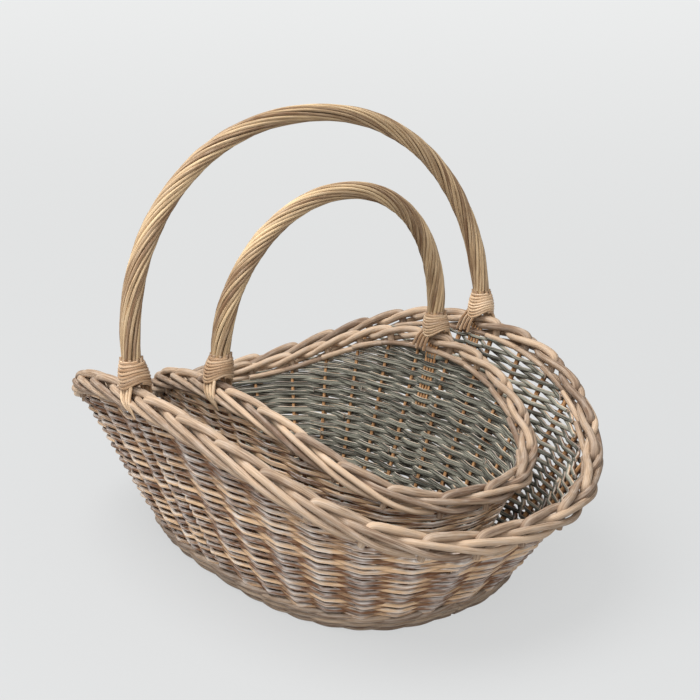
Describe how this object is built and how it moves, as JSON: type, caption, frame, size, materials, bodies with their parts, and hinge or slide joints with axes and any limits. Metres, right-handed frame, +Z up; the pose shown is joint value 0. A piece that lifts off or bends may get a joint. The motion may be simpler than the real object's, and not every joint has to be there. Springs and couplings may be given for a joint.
{
  "type": "trug garden basket",
  "caption": "Nest of two oval woven willow trugs with saddle-shaped rolled rims and arched twisted-rod handles; the smaller trug lifts out of the larger.",
  "frame": {"origin": "middle of the underside of the large trug's base", "axes": "+X along the length of both trugs, +Y across them from the front handle foot to the rear one, +Z up"},
  "size_m": [0.5424, 0.4294, 0.4165],
  "materials": {
    "weave_willow": "washed willow rods, pink-tan outside with a whitish wash, weathered grey-green on the inner face",
    "stake_willow": "orange-brown willow, matt",
    "border_willow": "tan-brown peeled willow with a pale wash on the high spots",
    "handle_willow": "golden tan willow, satin",
    "binding_cane": "split cane, satin",
    "base_willow": "grey-brown willow, matt"
  },
  "bodies": {
    "large_trug": {"large_base_mat": "base_willow", "large_border_rods": "border_willow", "large_border_trim_rods": "border_willow", "large_cross_base_sticks": "base_willow", "large_foot_wale_rods": "weave_willow", "large_front_binding": "binding_cane", "large_handle_core": "handle_willow", "large_handle_leg_sticks": "stake_willow", "large_handle_strands": "handle_willow", "large_handle_tail_strips": "binding_cane", "large_long_base_sticks": "base_willow", "large_rear_binding": "binding_cane", "large_side_weave": "weave_willow", "large_stakes": "stake_willow"},
    "small_trug": {"small_base_mat": "base_willow", "small_border_rods": "border_willow", "small_border_trim_rods": "border_willow", "small_cross_base_sticks": "base_willow", "small_foot_wale_rods": "weave_willow", "small_front_binding": "binding_cane", "small_handle_core": "handle_willow", "small_handle_leg_sticks": "stake_willow", "small_handle_strands": "handle_willow", "small_handle_tail_strips": "binding_cane", "small_long_base_sticks": "base_willow", "small_rear_binding": "binding_cane", "small_side_weave": "weave_willow", "small_stakes": "stake_willow"}
  },
  "joints": [
    {"name": "nest_lift", "type": "slide", "parent": "large_trug", "child": "small_trug", "axis": [0, 0, 1], "range_m": [0, 0.12]}
  ]
}
